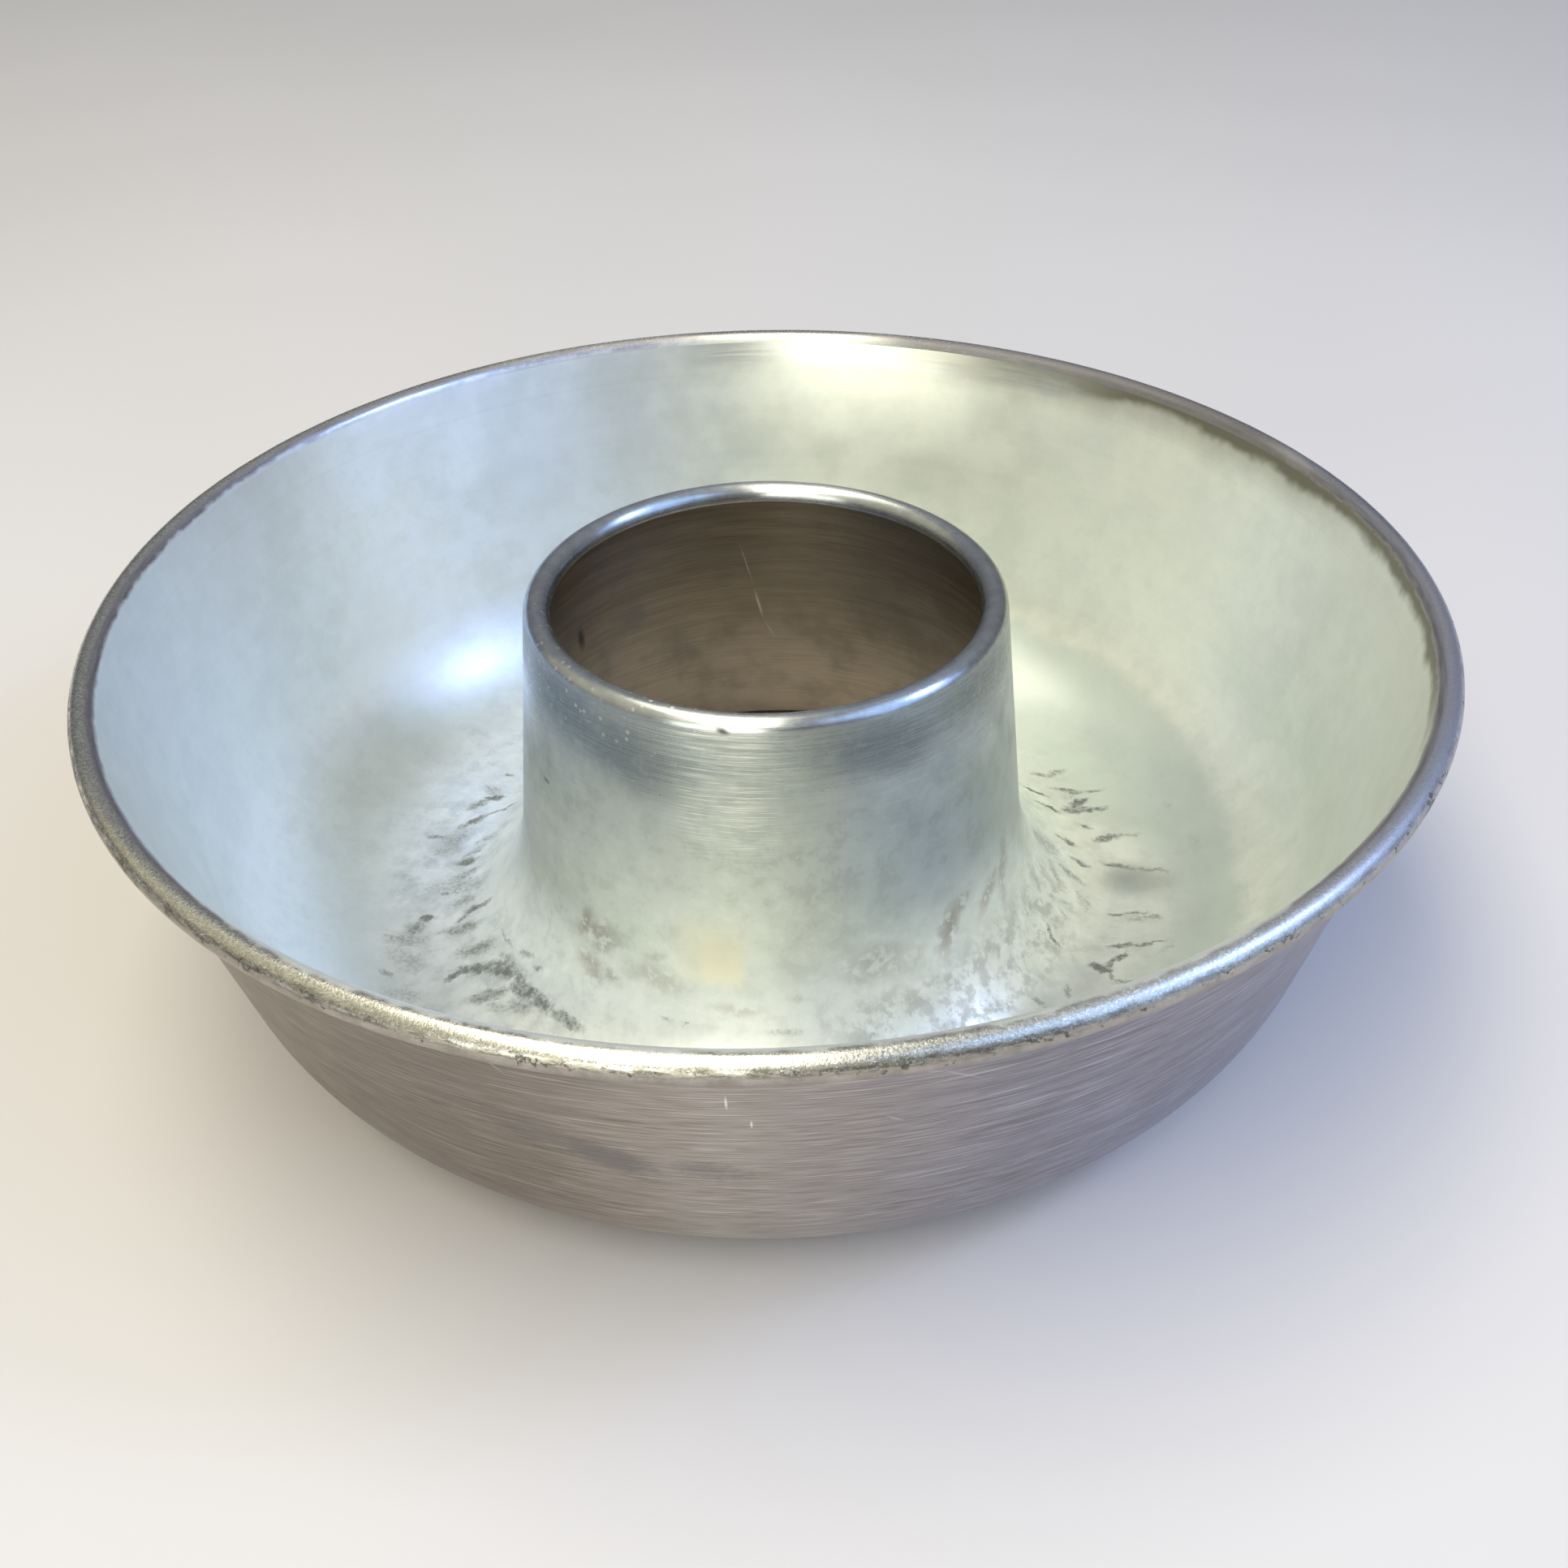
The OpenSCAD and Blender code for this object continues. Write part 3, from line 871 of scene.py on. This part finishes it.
def wall_finish():
    """The dull sloping wall and the bend below it, with a little polish and old grease under the rim."""
    n = SheetNodes("aluminium_wall")
    wall = section.run_at("wall")
    blotch, grain = n.spots(14.0, 4.0), n.spots(0.7, 2.0)
    streaks = n.brushed(4.0, 1.4)
    colour = dull_look(n, blotch)

    edge = n.wandering(n.brushed(9.0, 0.0), 0.6)
    polish = n.times(n.fading(edge, wall + 4.0, wall + 6.5), n.facing(74, 16, 28))
    colour = n.over(colour, n.shades(streaks, POLISH_DARK, POLISH_PALE, 0.35, 0.65), polish, 0.7)
    colour = n.over(colour, POLISH_END, n.band(n.run, wall + 7.0, wall + 7.2, 0.3), 0.12)

    drip = n.wandering(n.spots(16.0, 4.0, 0.6, shift=12.0), 1.0)
    colour = n.over(colour, GREASE_FILM, n.fading(drip, wall + 0.5, wall + 10.0), n.facing(44, 20, 38), 0.8)
    grease = n.times(n.fading(drip, wall + 1.0, wall + 3.6), n.facing(14, 30, 46))
    colour = n.over(colour, GREASE, grease, 0.9)

    rough = n.lerp(polish, n.swing(blotch, *DULL_ROUGH), n.ranged(streaks, 0.35, 0.65, 0.32, 0.40))
    metal = n.times(n.lerp(polish, DULL_METAL, 0.9), n.rest(n.times(grease, 0.8)))
    return n.spun_metal(colour, metal, rough, dull_height(n, grain), 0.010)


def floor_finish(name, scuffs):
    """The floor and the foot of the tube, scuffed by knives and scrapers."""
    n = SheetNodes("aluminium_" + name)
    foot = section.run_at("foot")
    blotch, grain = n.spots(14.0, 4.0), n.spots(0.7, 2.0)
    colour = dull_look(n, blotch)

    wear = n.times(n.band(n.run, foot - 10.0, foot + 13.0, 4.0), n.facing(192, 20, 55))
    colour = n.over(colour, FOOT_WEAR, wear, n.ranged(n.spots(5.0, 5.0, 0.7, shift=5.0), 0.45, 0.7), 0.55)

    soft = n.strokes(n.ragged_position(1.5, 2.6), scuffs)
    broken = n.ranged(n.spots(1.5, 5.0, 0.7), 0.34, 0.56, 0.35, 1.0)
    scuffed = n.times(n.grained(soft, n.spots(0.8, 4.0, 0.75, shift=30.0), 1.3), broken)
    colour = n.over(colour, SCUFF_EDGE, n.ranged(soft, 0.0, 0.5), 0.35)
    colour = n.over(colour, SCUFF, scuffed, 0.9)
    colour = n.over(colour, BRUISE, n.strokes(n.ragged_position(0.6, 4.0), FLOOR_BRUISES))
    stained = foot_stains(n)
    colour = n.over(colour, FOOT_STAIN, stained, 0.55)

    rough = n.plus(n.swing(blotch, *DULL_ROUGH), n.plus(n.times(scuffed, 0.15), n.times(stained, 0.12)))
    metal = n.math("SUBTRACT", DULL_METAL, n.times(scuffed, 0.3))
    return n.spun_metal(colour, metal, rough, dull_height(n, grain), 0.010)


def tube_finish():
    """The tube: stained and dull below with a painted warm reflection, worn bright and scratched above with
    painted shade and painted highlight lines, and a polished lip.
    """
    n = SheetNodes("aluminium_tube")
    foot, lip = section.run_at("foot"), section.run_at("lip")
    blotch, grain = n.spots(14.0, 4.0), n.spots(0.7, 2.0)
    hair = n.brushed(2.5, 2.6, 3.0)
    ragged = n.ragged_position(1.5, 3.0)
    colour = dull_look(n, blotch)

    # Stains low down, and a warm patch at the front that is a painted reflection
    stains = n.times(n.strokes(ragged, TUBE_STAINS), n.ranged(n.spots(2.2, 4.0), 0.36, 0.52))
    colour = n.over(colour, TUBE_STAIN, stains, 0.75)
    colour = n.over(colour, FOOT_STAIN, foot_stains(n), 0.55)
    patch = n.times(n.band(n.run, foot + 29.0, foot + 41.5, 2.4), n.facing(256.5, 3.5, 9), 0.45)
    core = n.times(n.band(n.run, foot + 29.0, foot + 38.0, 2.0), n.facing(259, 2, 6), 0.4)
    painted_reflection_share = n.plus(patch, core)
    colour = n.over(colour, PAINTED_WARM_REFLECTION, painted_reflection_share)

    # Painted shade above, deeper at the sides than at the front; polished towards the lip; painted cool
    # light at the right; and painted highlight lines at the front
    late = n.facing(308, 18, 40)
    start, full = n.lerp(late, foot + 20.5, foot + 26.0), n.lerp(late, foot + 38.0, foot + 48.0)
    on_wall = n.ranged(n.run, start, full)
    colour = n.tinted(colour, TUBE_SHADE, on_wall, n.lerp(n.facing(258, 10, 50), 0.9, 0.4))
    polish = n.ranged(n.wandering(n.spots(8.0, 3.0), 5.0), lip - 24.0, lip - 6.0)
    colour = n.over(colour, n.shades(hair, TUBE_DARK, TUBE_PALE, 0.35, 0.65), polish)
    colour = n.tinted(colour, TUBE_PAINTED_COOL_LIGHT, on_wall, n.facing(338, 12, 62), 0.65)
    patches = n.times(n.strokes(ragged, DARK_PATCHES), n.ranged(n.spots(4.0, 3.0), 0.25, 0.5, 0.6, 1.0))
    colour = n.over(colour, DARK_PATCH, patches, 0.85)
    # Bright scratch lines, painted as highlights: strongest where the lamp's streak falls at the front,
    # faint elsewhere
    glints = n.ranged(n.brushed(5.0, 5.2, 2.0), 0.56, 0.62)
    glints = n.times(glints, n.ranged(n.run, lip - 32.0, lip - 14.0))
    colour = n.over(colour, TUBE_PAINTED_HIGHLIGHT, glints, n.plus(n.facing(262, 5, 15), 0.08, clamp=True), 0.85)

    # The lip, with pale spots on it and below it
    on_lip = n.ranged(n.run, lip - 0.5, lip + 1.0)
    colour = n.over(colour, n.shades(n.spots(3.0, 3.0), LIP_DARK, LIP_PALE, 0.35, 0.65), on_lip)
    pale = n.times(n.dots(2.1, 0.8), n.ranged(n.run, lip - 9.0, lip - 4.0))
    pale = n.times(pale, n.plus(n.facing(212, 28, 46), 0.1, clamp=True))
    colour = n.over(colour, LIME_SPOT, pale, 0.7)
    colour = n.over(colour, PIT, n.strokes(n.position, TUBE_PITS))

    shine = n.highest([polish, on_lip])
    rough = n.lerp(shine, n.swing(blotch, *DULL_ROUGH), n.ranged(hair, 0.35, 0.65, 0.24, 0.32))
    rough = n.plus(rough, n.times(pale, 0.2))
    metal = n.times(n.lerp(n.highest([shine, on_wall]), DULL_METAL, 0.97), n.rest(n.times(painted_reflection_share, 0.8)))
    height = n.times(n.plus(hair, n.times(grain, 0.5)), n.lerp(on_lip, 1.0, 0.25))
    return n.spun_metal(colour, metal, rough, height, 0.009, 0.8)


def outside_finish():
    """The other face of the bowl: a brownish brushed wall, and a worn underside."""
    n = SheetNodes("aluminium_outside")
    wall = section.run_at("wall")
    hair = n.brushed(14.0, 3.4, 3.0)
    blotch = n.spots(16.0, 4.0, shift=20.0)

    colour = n.shades(hair, HAIR_DARK, HAIR_PALE, 0.36, 0.64)
    colour = n.over(colour, OUTER_BLOTCH, n.ranged(blotch, 0.35, 0.7, 0.0, 0.5))
    colour = n.over(colour, OUTER_STREAK, n.ranged(n.brushed(2.5, 1.3), 0.4, 0.7, 0.0, 0.15))
    colour = n.over(colour, BRIGHT_LINE, n.ranged(n.brushed(7.0, 4.4, 1.0), 0.61, 0.68, 0.0, 0.6))
    colour = n.over(colour, DARK_LINE, n.ranged(n.brushed(6.0, 3.9, 1.0), 0.39, 0.32, 0.0, 0.45))
    # Painted shade at the front left, and painted cool light at the right
    colour = n.tinted(colour, OUTER_SHADE, n.facing(232, 12, 34))
    colour = n.tinted(colour, OUTER_PAINTED_COOL_LIGHT, n.facing(325, 28, 58))
    smudges = n.strokes(n.ragged_position(1.5, 4.0), OUTER_SMUDGES, outer=True)
    colour = n.over(colour, SMUDGE, n.grained(smudges, n.spots(1.2, 4.0, 0.7), 0.6), 0.8)
    # Painted shade: the outer wall is darkened just under the rolled rim
    colour = n.over(colour, PAINTED_RIM_SHADOW, n.fading(n.run, wall + 6.0, wall + 7.4), 0.7)
    colour = n.over(colour, NICK, n.strokes(n.position, OUTER_NICKS, outer=True))

    height = n.plus(hair, n.times(n.spots(0.8, 2.0), 0.3))
    return n.spun_metal(colour, 1.0, n.swing(blotch, 0.34, 0.42), height, 0.014)


def bore_finish():
    """The inside of the tube: dark and brushed, painted a little paler towards the floor as painted light.
    """
    n = SheetNodes("aluminium_bore")
    foot, lip = section.run_at("foot"), section.run_at("lip")
    hair = n.brushed(4.0, 2.6, 3.0)
    blotch = n.spots(12.0, 3.0, shift=70.0)
    pale, dark = n.shades(hair, BORE_PAINTED_LIT, BORE_PAINTED_LIT_HAIR), n.shades(hair, BORE_DARK, BORE_DARK_HAIR)
    # Painted light and shade: paler low down, darker up under the lip
    colour = n.mix(n.ranged(n.run, foot + 8.0, lip - 6.0), pale, dark)
    colour = n.over(colour, BORE_LINE, n.ranged(n.brushed(1.8, 0.5, 3.0), 0.35, 0.7, 0.0, 0.15))
    colour = n.over(colour, BORE_BLOTCH, n.ranged(blotch, 0.4, 0.7, 0.0, 0.45))
    # Painted light: paler still at the foot
    colour = n.over(colour, BORE_PAINTED_FOOT_LIGHT, n.fading(n.run, foot - 1.0, foot + 8.0))
    colour = n.over(colour, BORE_SCRATCHED, n.strokes(n.position, BORE_SCRATCH, outer=True), 0.6)
    # Painted shade: a dark mark where a small dent is
    colour = n.over(colour, BORE_DENT_SHADE, n.strokes(n.position, BORE_DENT_SHADE_MARK, outer=True), 0.8)
    height = n.plus(hair, n.times(n.spots(0.8, 2.0), 0.3))
    return n.spun_metal(colour, 0.95, n.swing(blotch, 0.38, 0.46), height, 0.006)


def wire_finish():
    """Bright drawn steel with fine flecks."""
    n = Nodes("drawn_steel")
    place = n.add("ShaderNodeTexCoord").outputs["Object"]
    fleck = n.noise(place, 900.0, 2.0)
    colour = n.shades(fleck, WIRE_DARK, WIRE_PALE)
    n.shine(Base_Color=colour, Metallic=1.0, Roughness=n.swing(fleck, 0.25, 0.4))
    return n.material


def studio_finish():
    n = Nodes("studio_floor")
    place = n.add("ShaderNodeTexCoord").outputs["Object"]
    n.shine(Base_Color=n.shades(n.noise(place, 3.0, 2.0), STUDIO_DARK, STUDIO_PALE), Roughness=0.8)
    return n.material


def make_floor():
    angles = [2 * math.pi * i / FLOOR_SIDES for i in range(FLOOR_SIDES)]
    points = [(FLOOR_R * math.cos(angle), FLOOR_R * math.sin(angle), 0) for angle in angles]
    piece = mesh_object("studio_floor", points, [tuple(range(FLOOR_SIDES))])
    piece.data.materials.append(studio_finish())


def make_camera():
    """A camera at the photograph's viewing angle."""
    yaw, pitch, roll = CAMERA_YAW, CAMERA_PITCH, CAMERA_ROLL
    ahead = Vector((math.sin(yaw) * math.cos(pitch), math.cos(yaw) * math.cos(pitch), -math.sin(pitch)))
    right = ahead.cross(Vector((0, 0, 1))).normalized()
    up = right.cross(ahead)
    rolled_right = right * math.cos(roll) + up * math.sin(roll)
    rolled_up = up * math.cos(roll) - right * math.sin(roll)
    turn = Matrix((rolled_right, rolled_up, -ahead)).transposed()
    camera = bpy.data.objects.new("camera", bpy.data.cameras.new("camera"))
    bpy.context.scene.collection.objects.link(camera)
    camera.matrix_world = Matrix.Translation(Vector(CAMERA_AT) * MM) @ turn.to_4x4()
    camera.data.sensor_width = SENSOR_WIDTH
    camera.data.lens = FOCAL_LENGTH / PHOTO_WIDTH * SENSOR_WIDTH
    camera.data.clip_start = NEAR_CLIP * MM
    bpy.context.scene.camera = camera


def make_lamp(name, towards, distance, across, size, power, colour):
    """A soft lamp that faces the pan from a direction. Its height is at right angles to its width."""
    lamp = bpy.data.lights.new(name, "AREA")
    lamp.shape = "RECTANGLE"
    lamp.size, lamp.size_y = size
    lamp.energy = power
    lamp.color = colour
    holder = bpy.data.objects.new(name, lamp)
    bpy.context.scene.collection.objects.link(holder)
    back = Vector(towards).normalized()
    upward = back.cross(Vector(across)).normalized()
    turn = Matrix((upward.cross(back), upward, back)).transposed()
    holder.matrix_world = Matrix.Translation(back * distance) @ turn.to_4x4()
    holder.visible_camera = False


def make_world():
    """Soft surroundings: pale overhead, greyer towards the horizon."""
    world = bpy.data.worlds.new("studio")
    bpy.context.scene.world = world
    world.use_nodes = True
    tree = world.node_tree
    tree.nodes.clear()
    place = tree.nodes.new("ShaderNodeTexCoord")
    split = tree.nodes.new("ShaderNodeSeparateXYZ")
    ramp = tree.nodes.new("ShaderNodeValToRGB")
    glow = tree.nodes.new("ShaderNodeBackground")
    output = tree.nodes.new("ShaderNodeOutputWorld")
    tree.links.new(place.outputs["Generated"], split.inputs[0])
    tree.links.new(split.outputs["Z"], ramp.inputs[0])
    tree.links.new(ramp.outputs[0], glow.inputs["Color"])
    tree.links.new(glow.outputs[0], output.inputs["Surface"])
    for element, (position, colour) in zip(ramp.color_ramp.elements, (WORLD_LOW, WORLD_HIGH)):
        element.position = position
        element.color = colour
    glow.inputs["Strength"].default_value = WORLD_STRENGTH


# The shell, with its finishes in the order of FINISHES
shell = make_shell()
finishes = [rim_finish(), wall_finish(), tube_finish(), outside_finish(), bore_finish()]
finishes += [floor_finish(name, scuffs) for name, start, end, scuffs in FLOOR_SECTORS]
for finish in finishes:
    shell.data.materials.append(finish)
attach(shell, "root")
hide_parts("pan_shell")

wire = make_wire()
wire.data.materials.append(wire_finish())
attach(wire, "root")
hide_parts("rim_wire")

make_floor()
make_camera()
for lamp in LAMPS:
    make_lamp(*lamp)
make_world()
bpy.context.scene.view_settings.view_transform = "Standard"
